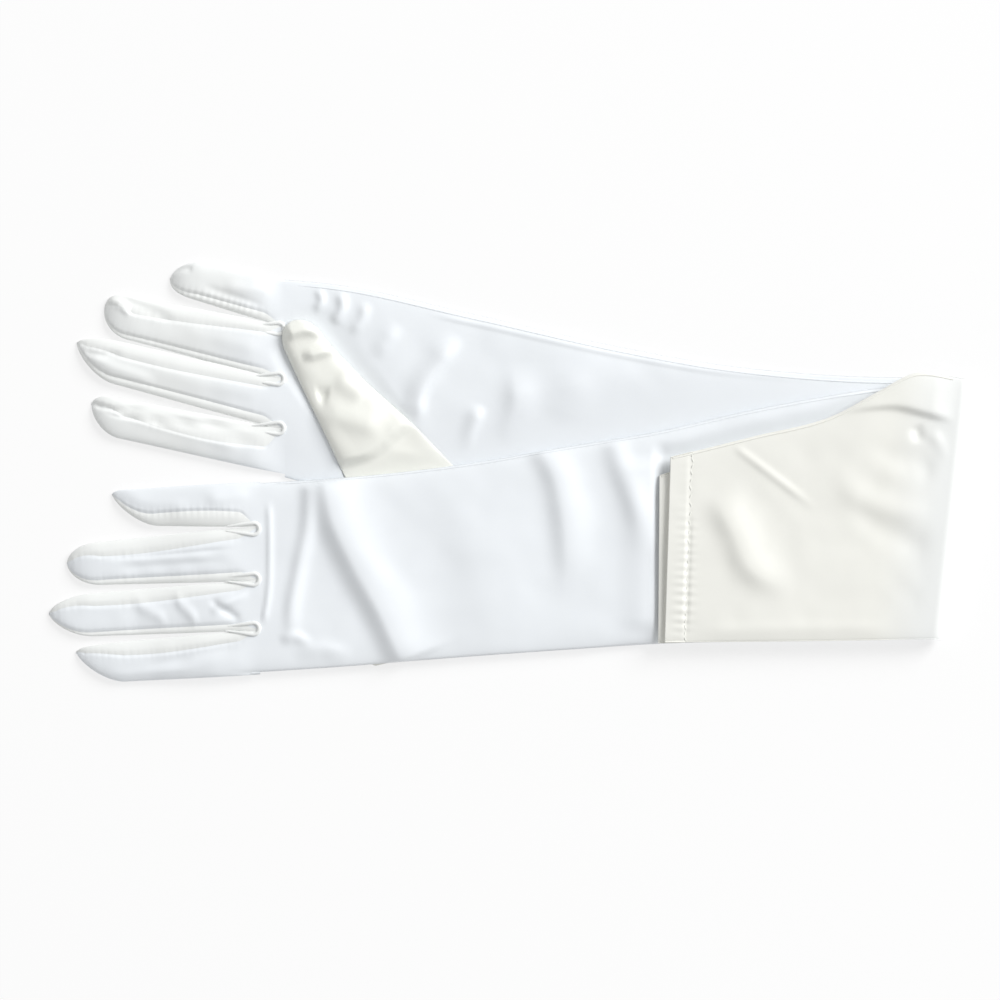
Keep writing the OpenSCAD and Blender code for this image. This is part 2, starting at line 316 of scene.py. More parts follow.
def cuffPly(side, outer):
    # one ply of the folded part: half a turn round the fold axis at the ply's own radius, then the
    # mirror of the body's height, 2 * hinge height - z, with the cuff's creases on the outer ply
    g = gloves[side]
    bendRows, rows = cuffLook["bendRows"], cuffLook["rows"]
    q = edgeSpaced(cuffLook["columns"]) * (-1 if outer else 1)
    floor = layers[side + "Floor"]
    half = layers["plyGap"] / 2 * acrossRow(q, layers["square"])
    flatZ = floor + layers["plyGap"] / 2 + (-half if outer else half)
    low, high = np.array(g["low"][-1]), np.array(g["high"][-1])
    turn = np.linspace(0, np.pi, bendRows + 1)[:-1, None]
    radius = hingeZ - flatZ
    start = rowPoints(low[None], high[None], q[None])
    bend = start + foldOut * (radius * np.sin(turn))[..., None]
    bendZ = hingeZ - radius * np.cos(turn)
    t = np.linspace(0, 1, rows)
    plan = rowPoints(along(g["cuffLow"], t), along(g["cuffHigh"], t), np.tile(q, (rows, 1)))
    plan[0] = start[0]
    x, y = plan[..., 0], plan[..., 1]
    z = 2 * hingeZ - flatZ + np.zeros((rows, 1))
    mouth = np.linalg.norm(plan - plan[-1], axis=-1)
    lie = smooth(t[:, None] / 0.09) * acrossRow(q, 6)
    stitchLine = hemLook["depth"]
    wave = np.sin(2 * np.pi * y / hemLook["pitch"] + 2.4 * rumple(y, mouth * 0.2, 11, 31))
    pull = (0.55 + 0.75 * rumple(x, y, 9, 33)) * (0.35 + 0.65 * smooth((12 - y) / 30))
    pucker = hemLook["pucker"] * wave * pull * np.exp(-(((mouth - stitchLine + 1) / 3.4) ** 2))
    band = hemLook["proud"] * smooth((stitchLine - mouth) / 1.4)
    groove = -hemLook["groove"] * np.clip(pull, 0.1, 1) * np.exp(-(((mouth - stitchLine) / 0.8) ** 2))
    if outer:
        rough = creaseHeight(x, y, g["cuffCreases"]) * (side == "left")
        rough = rough + 0.35 * rumple(x, y, 17, 21) + 0.12 * rumple(x, y, 7, 22)
        z = z + (rough * (1 if side == "left" else 0.2) + band + groove + pucker) * lie
    else:
        z = z - (0.3 * (band + groove + pucker)) * lie
    grid = np.concatenate([np.dstack([bend, bendZ]), np.dstack([plan, z])])
    warm = np.r_[0.5 * smooth(np.linspace(0, 1, bendRows)), 0.5 + 0.5 * smooth(t * 4)]
    return grid, warm[:, None]


def turnedHem(ply, inward):
    # the doubled edge at the mouth: half a turn of small radius, then back under the ply
    rows = np.linalg.norm(ply[-1, :, :2].mean(0) - ply[:, :, :2].mean(1), axis=-1)
    back = ply[rows <= hemLook["depth"] + 0.6][::-1]
    out = back[0] - back[1]
    out /= np.linalg.norm(out, axis=-1, keepdims=True)
    turn = np.linspace(0, np.pi, 7)[:, None, None]
    r = hemLook["turn"]
    down = np.array([0, 0, inward])
    lip = back[0] + out * r * np.sin(turn) + down * r * (1 - np.cos(turn))
    return np.concatenate([lip, back[1:] + down * 2 * r])


def sampled(grid, row, col):
    # points of a grid at fractional rows and columns, by bilinear mixing
    r0, c0 = np.floor(row).astype(int), np.floor(col).astype(int)
    r1, c1 = np.minimum(r0 + 1, grid.shape[0] - 1), np.minimum(c0 + 1, grid.shape[1] - 1)
    fr, fc = (row - r0)[..., None], (col - c0)[..., None]
    return ((grid[r0, c0] * (1 - fc) + grid[r0, c1] * fc) * (1 - fr)
            + (grid[r1, c0] * (1 - fc) + grid[r1, c1] * fc) * fr)


def tubeAlong(path, radius, sides=8, squash=1.0, up=(0, 0, 1)):
    # a tube: path point + radius * (cos a * across + squash * sin a * up)
    step = np.gradient(path, axis=0)
    step /= np.linalg.norm(step, axis=1, keepdims=True)
    across = np.cross(step, up)
    across /= np.linalg.norm(across, axis=1, keepdims=True)
    rise = np.cross(across, step)
    a = np.arange(sides) / sides * 2 * np.pi
    r = np.broadcast_to(radius, len(path))[:, None, None]
    return (path[:, None] + r * np.cos(a)[None, :, None] * across[:, None]
            + r * squash * np.sin(a)[None, :, None] * rise[:, None])


def stitchRow(name, points, radius, length, swing):
    # one small thread bar for each point pair: a six-sided bar with closed, pinched ends
    heading = np.gradient(points, axis=0)
    heading /= np.linalg.norm(heading, axis=1, keepdims=True)
    side = np.cross(heading, (0, 0, 1))
    sign = np.where(np.arange(len(points)) % 2, 1, -1)[:, None]
    heading = heading + side * swing * sign
    heading /= np.linalg.norm(heading, axis=1, keepdims=True)
    side = np.cross(heading, (0, 0, 1))
    u = np.array([-0.5, -0.36, 0, 0.36, 0.5])
    width = np.array([0.25, 0.9, 1.0, 0.9, 0.25]) * radius
    lift = np.array([-0.7, 0.0, 0.35, 0.0, -0.7]) * radius
    a = np.arange(6) / 6 * 2 * np.pi
    spine = points[:, None] + heading[:, None] * (u * length)[None, :, None]
    spine = spine + np.array([0, 0, 1]) * lift[None, :, None]
    ring = (np.cos(a)[None, None, :, None] * side[:, None, None]
            + np.sin(a)[None, None, :, None] * np.array([0, 0, 1]))
    pts = spine[:, :, None] + ring * width[None, :, None, None]
    count = len(points)
    base = (np.arange(count) * 30)[:, None, None]
    i = np.arange(4)[None, :, None] * 6
    j = np.arange(6)[None, None, :]
    k = (j + 1) % 6
    quads = np.stack([base + i + j, base + i + k, base + i + 6 + k, base + i + 6 + j], -1).reshape(-1, 4)
    ends = np.concatenate([base[:, 0] + np.arange(5, -1, -1), base[:, 0] + 24 + np.arange(6)])
    mesh = bpy.data.meshes.new(name)
    mesh.from_pydata(inFrame(pts.reshape(-1, 3)).tolist(), [], quads.tolist() + ends.tolist())
    bm = bmesh.new()
    bm.from_mesh(mesh)
    bmesh.ops.recalc_face_normals(bm, faces=bm.faces)
    bm.to_mesh(mesh)
    bm.free()
    mesh.polygons.foreach_set("use_smooth", np.ones(len(mesh.polygons), bool))
    piece = bpy.data.objects.new(name, mesh)
    bpy.context.collection.objects.link(piece)
    return piece


fingerLook = {
    # visible side-strip width in mm at base, middle and tip, on the low and the high side
    "right": {"index": [None, (3.2, 5.8, 4.0)], "middle": [(2.8, 2.6, 1.2), (3.0, 5.4, 4)],
              "ring": [(3.8, 3.0, 1.6), (3.6, 6.2, 5.0)], "little": [(5.2, 6.2, 3.4), None]},
    "left": {"index": [None, (7.5, 9.5, 5.0)], "middle": [(3.4, 3.4, 2.4), (4.4, 6.2, 5)],
             "ring": [(2.6, 2.4, 1.6), (3.6, 6.4, 6)], "little": [(3.4, 3.0, 2), None]},
    # long creases: from s, q to s, q, with rise and width in mm
    "lines": {
        "right_index": [(4, .5, 46, -.35, -.7, 2.6), (22, -.5, 62, -.7, .5, 2.2)],
        "right_middle": [(3, .55, 20, -.1, 1.3, 2.0), (7, -.6, 20, .3, -1.1, 2.0),
                         (24, -.6, 34, .6, .7, 3.2), (36, -.5, 50, .5, .6, 3.0)],
        "right_ring": [(8, .24, 64, .16, -.45, .8), (10, -.2, 60, -.3, -.3, 1.6),
                       (16, .0, 56, .05, .3, 1.4)],
        "right_little": [(2, .5, 22, .2, .5, 2.6), (26, -.1, 54, .4, .4, 3.0)],
        "left_index": [(6, .95, 58, .15, -.8, .8), (20, .75, 74, -.05, -.8, .8),
                       (10, -.35, 70, .3, .5, 2.4), (56, .7, 80, .05, -.9, 1.0), (6, .1, 40, .55, -.6, 1.2)],
        "left_middle": [(8, .1, 60, .0, .4, 3.0), (50, -.4, 84, -.2, .7, 2.4), (66, .5, 82, -.3, -.7, 1.4)],
        "left_ring": [(6, -.1, 46, .05, .4, 3.2), (44, .3, 70, .9, -1.0, 1.8), (62, .2, 73, .8, .9, 1.6)],
        "left_little": [(4, .4, 26, .1, .6, 2.6), (6, -.35, 34, -.2, -.5, 1.6), (38, .6, 46, .9, -.8, 1.4)],
    },
    # tip length in tip radii, its two powers (pointed or blunt) and its lean to the high side in mm
    "tips": {"right_index": (2.6, 1.6, .62, 4.8), "right_middle": (2.3, 1.9, .64, 1.4),
             "right_ring": (1.8, 2.2, .55, .6), "right_little": (2.7, 1.6, .6, 5.2),
             "left_index": (1.9, 2.2, .55, 3.4), "left_middle": (2.4, 1.8, .66, 3.6),
             "left_ring": (1.6, 2.6, .46, 2.4), "left_little": (1.8, 2.2, .5, -1.6)},
    "rise": 4.2, "round": 2.6, "groove": 0.55, "pucker": 0.12, "pitch": 2.6, "plain": 0.35,
    "rows": 84, "tipRows": 26, "columns": (5, 4, 7, 20, 7, 4, 5), "stripWall": 0.25,
    "turnIn": 16, "handRun": 15, "bend": 9,  # mm from the knuckles
    "tube": (42, 90), "tab": (20, 90),  # cut sizes
    "warmTips": 0.45,  # warmth of the left fingers
}
tipRadius = {"index": 7.0, "middle": 7.5, "ring": 7.5, "little": 6.5}


def nodePlan(name):
    # plan points of a CAD node's corners
    co = np.zeros(len(frame["nodes"][name].data.vertices) * 3)
    frame["nodes"][name].data.vertices.foreach_get("co", co)
    return co.reshape(-1, 3)[:, :2] / mm - foldMid[:2]


def fingerRing(side, finger):
    # a tapering tube along the finger: centre + across * q * halfWidth(s), height sqrt(1 - |q|^3),
    # starting on the hand's own section and ending in a round tip; seams are grooves at set q
    base = planPoint(joints[f"{side}_{finger}_lift"]["pos_m"])
    outline = nodePlan(f"{side}_{finger}_palm")
    far = outline[np.argmax(np.linalg.norm(outline - base, axis=1))]
    length = np.linalg.norm(far - base)
    heading = (far - base) / length
    box = outline[np.abs(outline[:, 0] - base[0]) < 0.6]
    baseHalf = (box[:, 1].max() - box[:, 1].min()) / 2 + 0.2
    tip = tipRadius[finger]
    rows, tipRows = fingerLook["rows"], fingerLook["tipRows"]
    nearTip = 0.8 + 0.2 * np.sin(np.linspace(0, np.pi / 2, tipRows + 1))
    s = length * np.r_[np.linspace(0, 0.8, rows - tipRows)[:-1], nearTip]
    longTip, power, blunt, leanTo = fingerLook["tips"][f"{side}_{finger}"]
    u = np.clip(1 - (length - s) / (tip * longTip), 0, 1)
    half = (baseHalf + (tip * 1.08 - baseHalf) * smooth(s / length * 0.9)) * (1 - u**power * 0.9999) ** blunt
    turned = smooth(s / fingerLook["turnIn"])
    across = np.outer(1 - turned, (0, 1)) + np.outer(turned, (heading[1], -heading[0]))
    across /= np.linalg.norm(across, axis=1, keepdims=True)
    lean = leanTo * u**1.8
    centre = base + s[:, None] * heading + lean[:, None] * across

    lowStrip, highStrip = fingerLook[side][finger]
    share = s / length

    def stripShare(widths):
        if widths is None:
            return np.full(rows, fingerLook["plain"])
        mmWide = along([(0, widths[0]), (0.5, widths[1]), (1, widths[2])], share)[:, 1]
        shown = np.clip(mmWide / np.maximum(half, 0.3), 0.05, 1.15) * (1 - 0.5 * u)
        return 0.04 + (shown - 0.04) * smooth((s - 0.5) / 8)

    ql, qh = stripShare(lowStrip)[:, None], stripShare(highStrip)[:, None]
    n = fingerLook["columns"]
    f = [np.arange(k)[None] / k for k in n]
    under = 0.55
    q = np.concatenate([
        -under * f[0] + 0 * ql,
        -1 + (1 - under) * (1 - f[1]) ** 2 + 0 * ql,
        -1 + ql * f[2] ** 2,
        (-1 + ql) + (2 - ql - qh) * f[3],
        1 - qh * (1 - f[4]) ** 2,
        1 - (1 - under) * f[5] ** 2 + 0 * qh,
        under * (1 - f[6]) + 0 * qh], axis=1)
    face = np.repeat([-1, -1, 1, 1, 1, -1, -1], n)
    plan = centre[:, None] + (q * half[:, None])[..., None] * across[:, None]
    x, y = plan[..., 0], plan[..., 1]

    if side == "right":
        floor = layers["rightFloor"] - layers["sink"] * smooth((s - 16) / 34)
    else:
        floor = np.full(rows, layers["leftFloor"])
    rise = fingerLook["rise"] * (1 - 0.35 * u**2) * np.sqrt(1 - u**4 * 0.999)
    mid = (floor + rise * 0.5)[:, None]
    swell = 1 + 0.10 * rumple(s[:, None] + 0 * q, q * 6 + 17 * fingers.index(finger), 14, 41)
    own = mid + face * (rise * 0.5)[:, None] * swell * acrossRow(q, fingerLook["round"])
    own = own + np.where(face > 0, 0.16 * rumple(x, y, 6, 43), 0) * acrossRow(q, 4)
    for s0, q0, s1, q1, lineRise, width in fingerLook["lines"][f"{side}_{finger}"]:
        k = (s[:, None] - s0) / (s1 - s0)
        gap = (q - q0 - (q1 - q0) * np.clip(k, 0, 1)) * half[:, None]
        fold = lineRise * np.exp(-((gap / width) ** 2)) * smooth(k / 0.25) * smooth((1 - k) / 0.25)
        own = own + np.where(face > 0, fold, 0) * acrossRow(q, 3)
    uneven = 1.7 * rumple(s[:, None], s[:, None] * 0, 7, 47)
    puck = np.sin(2 * np.pi * s[:, None] / fingerLook["pitch"] + uneven)
    for strip, seam in ((lowStrip, -1 + ql), (highStrip, 1 - qh)):
        if strip is not None:
            gap = (q - seam) * half[:, None]
            dip = fingerLook["groove"] * np.exp(-((gap / 0.75) ** 2)) * smooth(s / 8)[:, None]
            ripple = fingerLook["pucker"] * puck * np.exp(-((gap / 2.2) ** 2)) * smooth(s / 8)[:, None]
            own = own + np.where(face > 0, (ripple - dip) * (1 - 0.7 * u[:, None]), 0)
    # at its base the finger has the hand's own heights
    low, high = np.array(gloves[side]["low"][0]), np.array(gloves[side]["high"][0])
    handQ = np.clip((2 * y - low[1] - high[1]) / (high[1] - low[1]), -1, 1)
    handUnder, handOver = underside(side, x, y), upperSide(side, x, y)
    handHalf = (handOver - handUnder) / 2 * acrossRow(handQ, layers["square"])
    hand = (handUnder + handOver) / 2 + face * handHalf
    z = hand + (own - hand) * smooth(s / fingerLook["handRun"])[:, None]
    marks = np.cumsum(n)
    return np.dstack([plan, np.maximum(z, 0.1)]), (n[0], marks[2], marks[3], marks[5]), base, heading


# left thumb: a wedge from under the right glove's edge to a round tip
thumbLook = {"leftEdge": [(-235.6, 11.5), (-243.8, 29), (-252.5, 47), (-259.3, 61.5)],
             "rightEdge": [(-192.0, 15.5), (-210.6, 34.6), (-226.5, 49.0), (-243.4, 66.5)],
             "tip": (-256.0, 73.8), "rise": 4.4, "rows": 100, "columns": 56,
             "cut": (66, 75), "wall": 0.12, "bend": 8,
             "foot": [(-241, 14.5), (-236.6, 18), (-227, 21.8), (-218, 28.6), (-210.7, 35), (-204, 42)],
             "creases": [
                 ([(-260, 68), (-251, 70), (-242, 69)], 2.5, 2.6, 2.2, .2, .25, 0),
                 ([(-253, 59), (-246, 61), (-237, 63.5)], 2.3, 2.2, 2.0, .3, .3, 0),
                 ([(-247.5, 44), (-244.5, 44.6), (-241.5, 44)], -1.3, 3.0, 3.0, .4, .4, 0),
                 ([(-248, 38), (-234, 35), (-219, 30.5)], 1.5, 6.0, 4.5, .3, .3, 0),
                 ([(-240, 52), (-233, 47), (-227, 44)], 1.2, 4.0, 4.0, .3, .3, 0),
                 ([(-222, 26), (-214, 22), (-204, 19)], .9, 2.2, 3.0, .3, .3, 0),
             ]}


def thumbGrid():
    # rows from the root to the tip between two given edges, standing on the palm's own height
    rows, cols = thumbLook["rows"], thumbLook["columns"]
    t = np.r_[np.linspace(0, 0.86, rows - 18)[:-1], 0.86 + 0.14 * np.sin(np.linspace(0, np.pi / 2, 19))]
    k = np.clip(t / 0.86, 0, 1)
    left, right = along(thumbLook["leftEdge"], k), along(thumbLook["rightEdge"], k)
    u = np.clip((t - 0.86) / 0.14, 0, 1)[:, None]
    middle = (left + right) / 2 + u * (np.array(thumbLook["tip"]) - (left[-1] + right[-1]) / 2)
    half = (left - right) / 2 * np.sqrt(1 - u**2 * 0.9999)
    q = np.r_[edgeSpaced(cols)[:-1], -edgeSpaced(cols)[:-1]]
    face = np.r_[np.ones(cols - 1), -np.ones(cols - 1)]
    plan = middle[:, None] + q[None, :, None] * half[:, None]
    x, y = plan[..., 0], plan[..., 1]
    under = upperSide("left", x, y) + 0.12
    past = y - edgeHeight(gloves["right"]["high"], x)
    d, k = fromCurve(x, y, thumbLook["foot"])
    free = smooth((past - 0.5) / 8) * (0.2 + 0.8 * smooth((d + 4.5) / 5.5))
    rise = 0.3 + (thumbLook["rise"] - 0.3) * free * np.sqrt(1 - u**4 * 0.99)
    rough = creaseHeight(x, y, thumbLook["creases"])
    rough = rough + 0.25 * rumple(x, y, 14, 51) + 0.06 * rumple(x, y, 5, 52)
    over = under + rise * acrossRow(q, 4) + np.maximum(rough, -0.6 * rise) * free * acrossRow(q, 5)
    return np.dstack([plan, np.where(face > 0, over, under)])


tuckedLook = {"rootHalf": 19.5, "tipHalf": 8.8, "rows": 60, "columns": 30, "rootLine": (-0.997, -0.077),
              "squareUp": 30, "middle": 1.05, "halfRise": 0.85, "cut": (60, 75), "turn": (0.5, 24)}


def tuckedThumb():
    # the right thumb, flat below its palm: a tapering tube with a round tip
    base = planPoint(joints["right_thumb_swing"]["pos_m"])
    outline = nodePlan("right_thumb_palm")
    far = outline[np.argmax(np.linalg.norm(outline - base, axis=1))]
    length = np.linalg.norm(far - base)
    heading = (far - base) / length
    s = length * np.sin(np.linspace(0, np.pi / 2, tuckedLook["rows"]))
    root, tip, cols = tuckedLook["rootHalf"], tuckedLook["tipHalf"], tuckedLook["columns"]
    u = np.clip((s - length + tip) / tip, 0, 1)
    half = (root + (tip - root) * smooth(s / length * 1.05)) * np.sqrt(1 - u**2 * 0.9999)
    q = np.r_[edgeSpaced(cols)[:-1], -edgeSpaced(cols)[:-1]]
    face = np.r_[np.ones(cols - 1), -np.ones(cols - 1)]
    turned = smooth(s / tuckedLook["squareUp"])
    across = np.outer(1 - turned, tuckedLook["rootLine"]) + np.outer(turned, (heading[1], -heading[0]))
    across /= np.linalg.norm(across, axis=1, keepdims=True)
    plan = (base + s[:, None] * heading)[:, None] + (q * half[:, None])[..., None] * across[:, None]
    rise = tuckedLook["halfRise"] + 0.12 * rumple(plan[..., 0], plan[..., 1], 9, 61)
    z = tuckedLook["middle"] + face * rise * acrossRow(q, 4)
    return np.dstack([plan, z])


def newGroup(name, inputs, outputs):
    tree = bpy.data.node_groups.new(name, "ShaderNodeTree")
    for label, kind, value in inputs:
        socket = tree.interface.new_socket(label, in_out="INPUT", socket_type=kind)
        if value is not None:
            socket.default_value = value
    for label, kind in outputs:
        tree.interface.new_socket(label, in_out="OUTPUT", socket_type=kind)
    return tree, tree.nodes.new("NodeGroupInput"), tree.nodes.new("NodeGroupOutput")


def addNode(tree, kind, values=None, **settings):
    node = tree.nodes.new(kind)
    for key, value in settings.items():
        setattr(node, key, value)
    for key, value in (values or {}).items():
        node.inputs[key].default_value = value
    return node


def satinWeaveGroup():
    # height of fine crossing threads plus a slower slub along the cloth
    tree, given, result = newGroup(
        "satinWeave",
        [("Vector", "NodeSocketVector", None), ("Threads", "NodeSocketFloat", 1600.0),
         ("Slub", "NodeSocketFloat", 0.35)],
        [("Height", "NodeSocketFloat"), ("Slubs", "NodeSocketFloat")])
    link = tree.links.new
    warp = addNode(tree, "ShaderNodeTexWave", {"Distortion": 1.2, "Detail": 1.0, "Detail Scale": 2.0},
                   wave_type="BANDS", bands_direction="X")
    weft = addNode(tree, "ShaderNodeTexWave", {"Distortion": 1.0, "Detail": 1.0, "Detail Scale": 2.0},
                   wave_type="BANDS", bands_direction="Y")
    stretch = addNode(tree, "ShaderNodeMapping", {"Scale": (1.0, 0.12, 1.0)})
    slub = addNode(tree, "ShaderNodeTexNoise", {"Scale": 900.0, "Detail": 3.0})
    half = addNode(tree, "ShaderNodeMath", {1: 0.5}, operation="MULTIPLY")
    both = addNode(tree, "ShaderNodeMath", operation="ADD")
    share = addNode(tree, "ShaderNodeMath", operation="MULTIPLY")
    total = addNode(tree, "ShaderNodeMath", operation="ADD")
    for wave in (warp, weft):
        link(given.outputs["Vector"], wave.inputs["Vector"])
        link(given.outputs["Threads"], wave.inputs["Scale"])
    link(given.outputs["Vector"], stretch.inputs["Vector"])
    link(stretch.outputs["Vector"], slub.inputs["Vector"])
    link(weft.outputs["Fac"], half.inputs[0])
    link(warp.outputs["Fac"], both.inputs[0])
    link(half.outputs[0], both.inputs[1])
    link(slub.outputs["Fac"], share.inputs[0])
    link(given.outputs["Slub"], share.inputs[1])
    link(both.outputs[0], total.inputs[0])
    link(share.outputs[0], total.inputs[1])
    link(total.outputs[0], result.inputs["Height"])
    link(slub.outputs["Fac"], result.inputs["Slubs"])
    return tree


def clothToneGroup():
    # colour between the cool face of the cloth and its warm side, with faint uneven patches
    tree, given, result = newGroup(
        "clothTone",
        [("Vector", "NodeSocketVector", None), ("Cool", "NodeSocketColor", (0.8, 0.8, 0.8, 1)),
         ("Warm", "NodeSocketColor", (0.8, 0.8, 0.7, 1)), ("Warmth", "NodeSocketFloat", 0.0),
         ("Patches", "NodeSocketFloat", 0.03)],
        [("Color", "NodeSocketColor"), ("Cloud", "NodeSocketFloat")])
    link = tree.links.new
    cloud = addNode(tree, "ShaderNodeTexNoise", {"Scale": 22.0, "Detail": 3.0, "Roughness": 0.55})
    mix = addNode(tree, "ShaderNodeMix", data_type="RGBA")
    spread = addNode(tree, "ShaderNodeMath", {1: 0.5}, operation="SUBTRACT")
    scaled = addNode(tree, "ShaderNodeMath", operation="MULTIPLY")
    value = addNode(tree, "ShaderNodeMath", {1: 1.0}, operation="ADD")
    shade = addNode(tree, "ShaderNodeHueSaturation")
    link(given.outputs["Vector"], cloud.inputs["Vector"])
    link(given.outputs["Warmth"], mix.inputs["Factor"])
    link(given.outputs["Cool"], mix.inputs["A"])
    link(given.outputs["Warm"], mix.inputs["B"])
    link(cloud.outputs["Fac"], spread.inputs[0])
    link(spread.outputs[0], scaled.inputs[0])
    link(given.outputs["Patches"], scaled.inputs[1])
    link(scaled.outputs[0], value.inputs[0])
    link(value.outputs[0], shade.inputs["Value"])
    link(mix.outputs["Result"], shade.inputs["Color"])
    link(shade.outputs["Color"], result.inputs["Color"])
    link(cloud.outputs["Fac"], result.inputs["Cloud"])
    return tree


groups = {"weave": satinWeaveGroup(), "tone": clothToneGroup()}
finishes = {
    "whiteSatin": {"cool": (0.855, 0.888, 0.918), "warm": (0.872, 0.872, 0.82), "rough": (0.36, 0.46),
                   "sheen": 0.25, "weaveDepth": 0.00003},
    "creamSatin": {"cool": (0.888, 0.906, 0.9), "warm": (0.89, 0.898, 0.842), "rough": (0.32, 0.42),
                   "sheen": 0.25, "weaveDepth": 0.00003},
    "sewingThread": {"cool": (0.80, 0.81, 0.77), "warm": (0.80, 0.81, 0.77), "rough": (0.45, 0.6),
                     "sheen": 0.4, "weaveDepth": 0.00002},
}


def makeFinish(name):
    look = finishes[name]
    material = bpy.data.materials.new(name)
    material.use_nodes = True
    tree = material.node_tree
    link = tree.links.new
    shader = tree.nodes["Principled BSDF"]
    place = addNode(tree, "ShaderNodeTexCoord")
    tone = addNode(tree, "ShaderNodeGroup", node_tree=groups["tone"])
    tone.inputs["Cool"].default_value = (*look["cool"], 1)
    tone.inputs["Warm"].default_value = (*look["warm"], 1)
    warmth = addNode(tree, "ShaderNodeAttribute", attribute_name="warmth")
    weave = addNode(tree, "ShaderNodeGroup", node_tree=groups["weave"])
    bump = addNode(tree, "ShaderNodeBump", {"Strength": 0.35, "Distance": look["weaveDepth"]})
    gloss = addNode(tree, "ShaderNodeMapRange", {"From Min": 0.3, "From Max": 0.7,
                                                 "To Min": look["rough"][0], "To Max": look["rough"][1]})
    link(place.outputs["Object"], tone.inputs["Vector"])
    link(warmth.outputs["Fac"], tone.inputs["Warmth"])
    if name == "sewingThread":
        link(place.outputs["Object"], weave.inputs["Vector"])
    else:
        cloth = addNode(tree, "ShaderNodeUVMap", uv_map="Cloth")
        link(cloth.outputs["UV"], weave.inputs["Vector"])
    link(tone.outputs["Color"], shader.inputs["Base Color"])
    link(tone.outputs["Cloud"], gloss.inputs["Value"])
    link(gloss.outputs["Result"], shader.inputs["Roughness"])
    link(weave.outputs["Height"], bump.inputs["Height"])
    link(bump.outputs["Normal"], shader.inputs["Normal"])
    shader.inputs["Sheen Weight"].default_value = look["sheen"]
    shader.inputs["Sheen Roughness"].default_value = 0.35
    shader.inputs["Specular IOR Level"].default_value = 0.5
    return material


materials = {name: makeFinish(name) for name in finishes}
print("materials made:", ", ".join(materials))


def dress(piece, finish, nodes=(), body=None, bend=None):
    # gives a piece its material and slot, hides the CAD nodes it stands in for, and parents it to its body;
    # a bend is not applied, the piece's transform is only baked
    piece.data.materials.append(materials[finish])
    if bend:
        tuple(inFrame(bend[2]))
        tuple(inFrame(bend[3]))
        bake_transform(piece)
    else:
        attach(piece, body)
    if nodes:
        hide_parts(*nodes)
    return piece


crotchLook = {"radius": 2.3, "reach": 11.0, "welt": 0.85, "back": 2.6}


def crotchLoop(side, middle):
    # a thin welt bent to a U round the foot of two fingers, tapering to nothing at both ends
    a = np.linspace(-np.pi / 2, np.pi / 2, 19)
    arm = np.linspace(0, 1, 12)[:-1]
    r, reach = crotchLook["radius"], crotchLook["reach"]
    low = np.stack([-reach * (1 - arm), -r * (0.35 + 0.65 * arm)], -1)
    bend = np.stack([r * np.cos(a), r * np.sin(a)], -1)
    plan = np.concatenate([low, bend, (low * (1, -1))[::-1]]) + middle
    z = upperSide(side, plan[:, 0], plan[:, 1]) + 0.1 - 0.7 * smooth((middle[0] - plan[:, 0]) / reach)
    k = np.linspace(0, 1, len(plan))
    radius = crotchLook["welt"] * np.clip(np.sin(np.pi * k), 0.002, 1) ** 0.35
    return tubeAlong(np.column_stack([plan, z]), radius, 10, 0.9)


